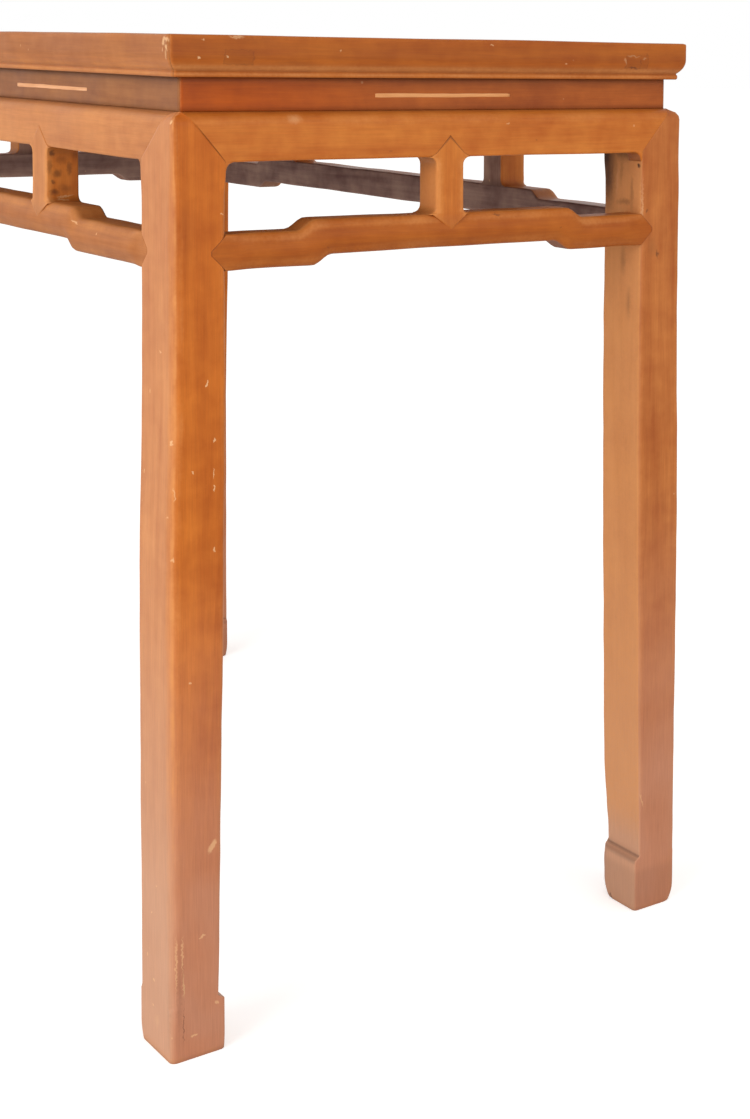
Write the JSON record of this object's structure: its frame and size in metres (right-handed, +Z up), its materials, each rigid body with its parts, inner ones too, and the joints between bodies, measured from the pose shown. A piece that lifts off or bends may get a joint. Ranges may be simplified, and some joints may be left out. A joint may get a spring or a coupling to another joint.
{
  "type": "chinese altar table",
  "caption": "Low-waisted wooden altar table with a mitred top frame and floating panel, humpback stretchers, short pillar struts and square legs ending in hoof feet.",
  "frame": {"origin": "on the floor under the centre of the table", "axes": "+X along the length to the right end, +Y to the back, +Z up"},
  "size_m": [1.062, 0.522, 0.85],
  "materials": {
    "honey_wood": "old honey-brown hardwood, worn satin lacquer and wax",
    "waist_wood": "darker red-brown hardwood, worn satin lacquer",
    "pale_wood": "pale inlaid wood, dull",
    "panel_wood": "honey-brown boards, worn satin lacquer",
    "batten_wood": "unfinished aged hardwood under the panel"
  },
  "bodies": {
    "root": {"top_rail_back": "honey_wood", "top_rail_front": "honey_wood", "top_rail_right": "honey_wood", "top_rail_left": "honey_wood", "waist_back": "waist_wood", "waist_front": "waist_wood", "waist_right": "waist_wood", "waist_left": "waist_wood", "apron_back": "honey_wood", "apron_front": "honey_wood", "apron_right": "honey_wood", "apron_left": "honey_wood", "leg_back_right": "honey_wood", "leg_back_left": "honey_wood", "leg_front_right": "honey_wood", "leg_front_left": "honey_wood", "stretcher_back": "honey_wood", "stretcher_front": "honey_wood", "stretcher_right": "honey_wood", "stretcher_left": "honey_wood", "strut_right": "honey_wood", "strut_left": "honey_wood", "strut_back_left": "honey_wood", "strut_back_right": "honey_wood", "strut_front_left": "honey_wood", "strut_front_right": "honey_wood", "waist_strip_right": "pale_wood", "waist_strip_left": "pale_wood", "waist_strip_back_left": "pale_wood", "waist_strip_back_right": "pale_wood", "waist_strip_front_left": "pale_wood", "waist_strip_front_right": "pale_wood", "panel_board_front": "panel_wood", "panel_board_middle": "panel_wood", "panel_board_back": "panel_wood", "panel_batten_left": "batten_wood", "panel_batten_middle": "batten_wood", "panel_batten_right": "batten_wood"}
  },
  "joints": []
}
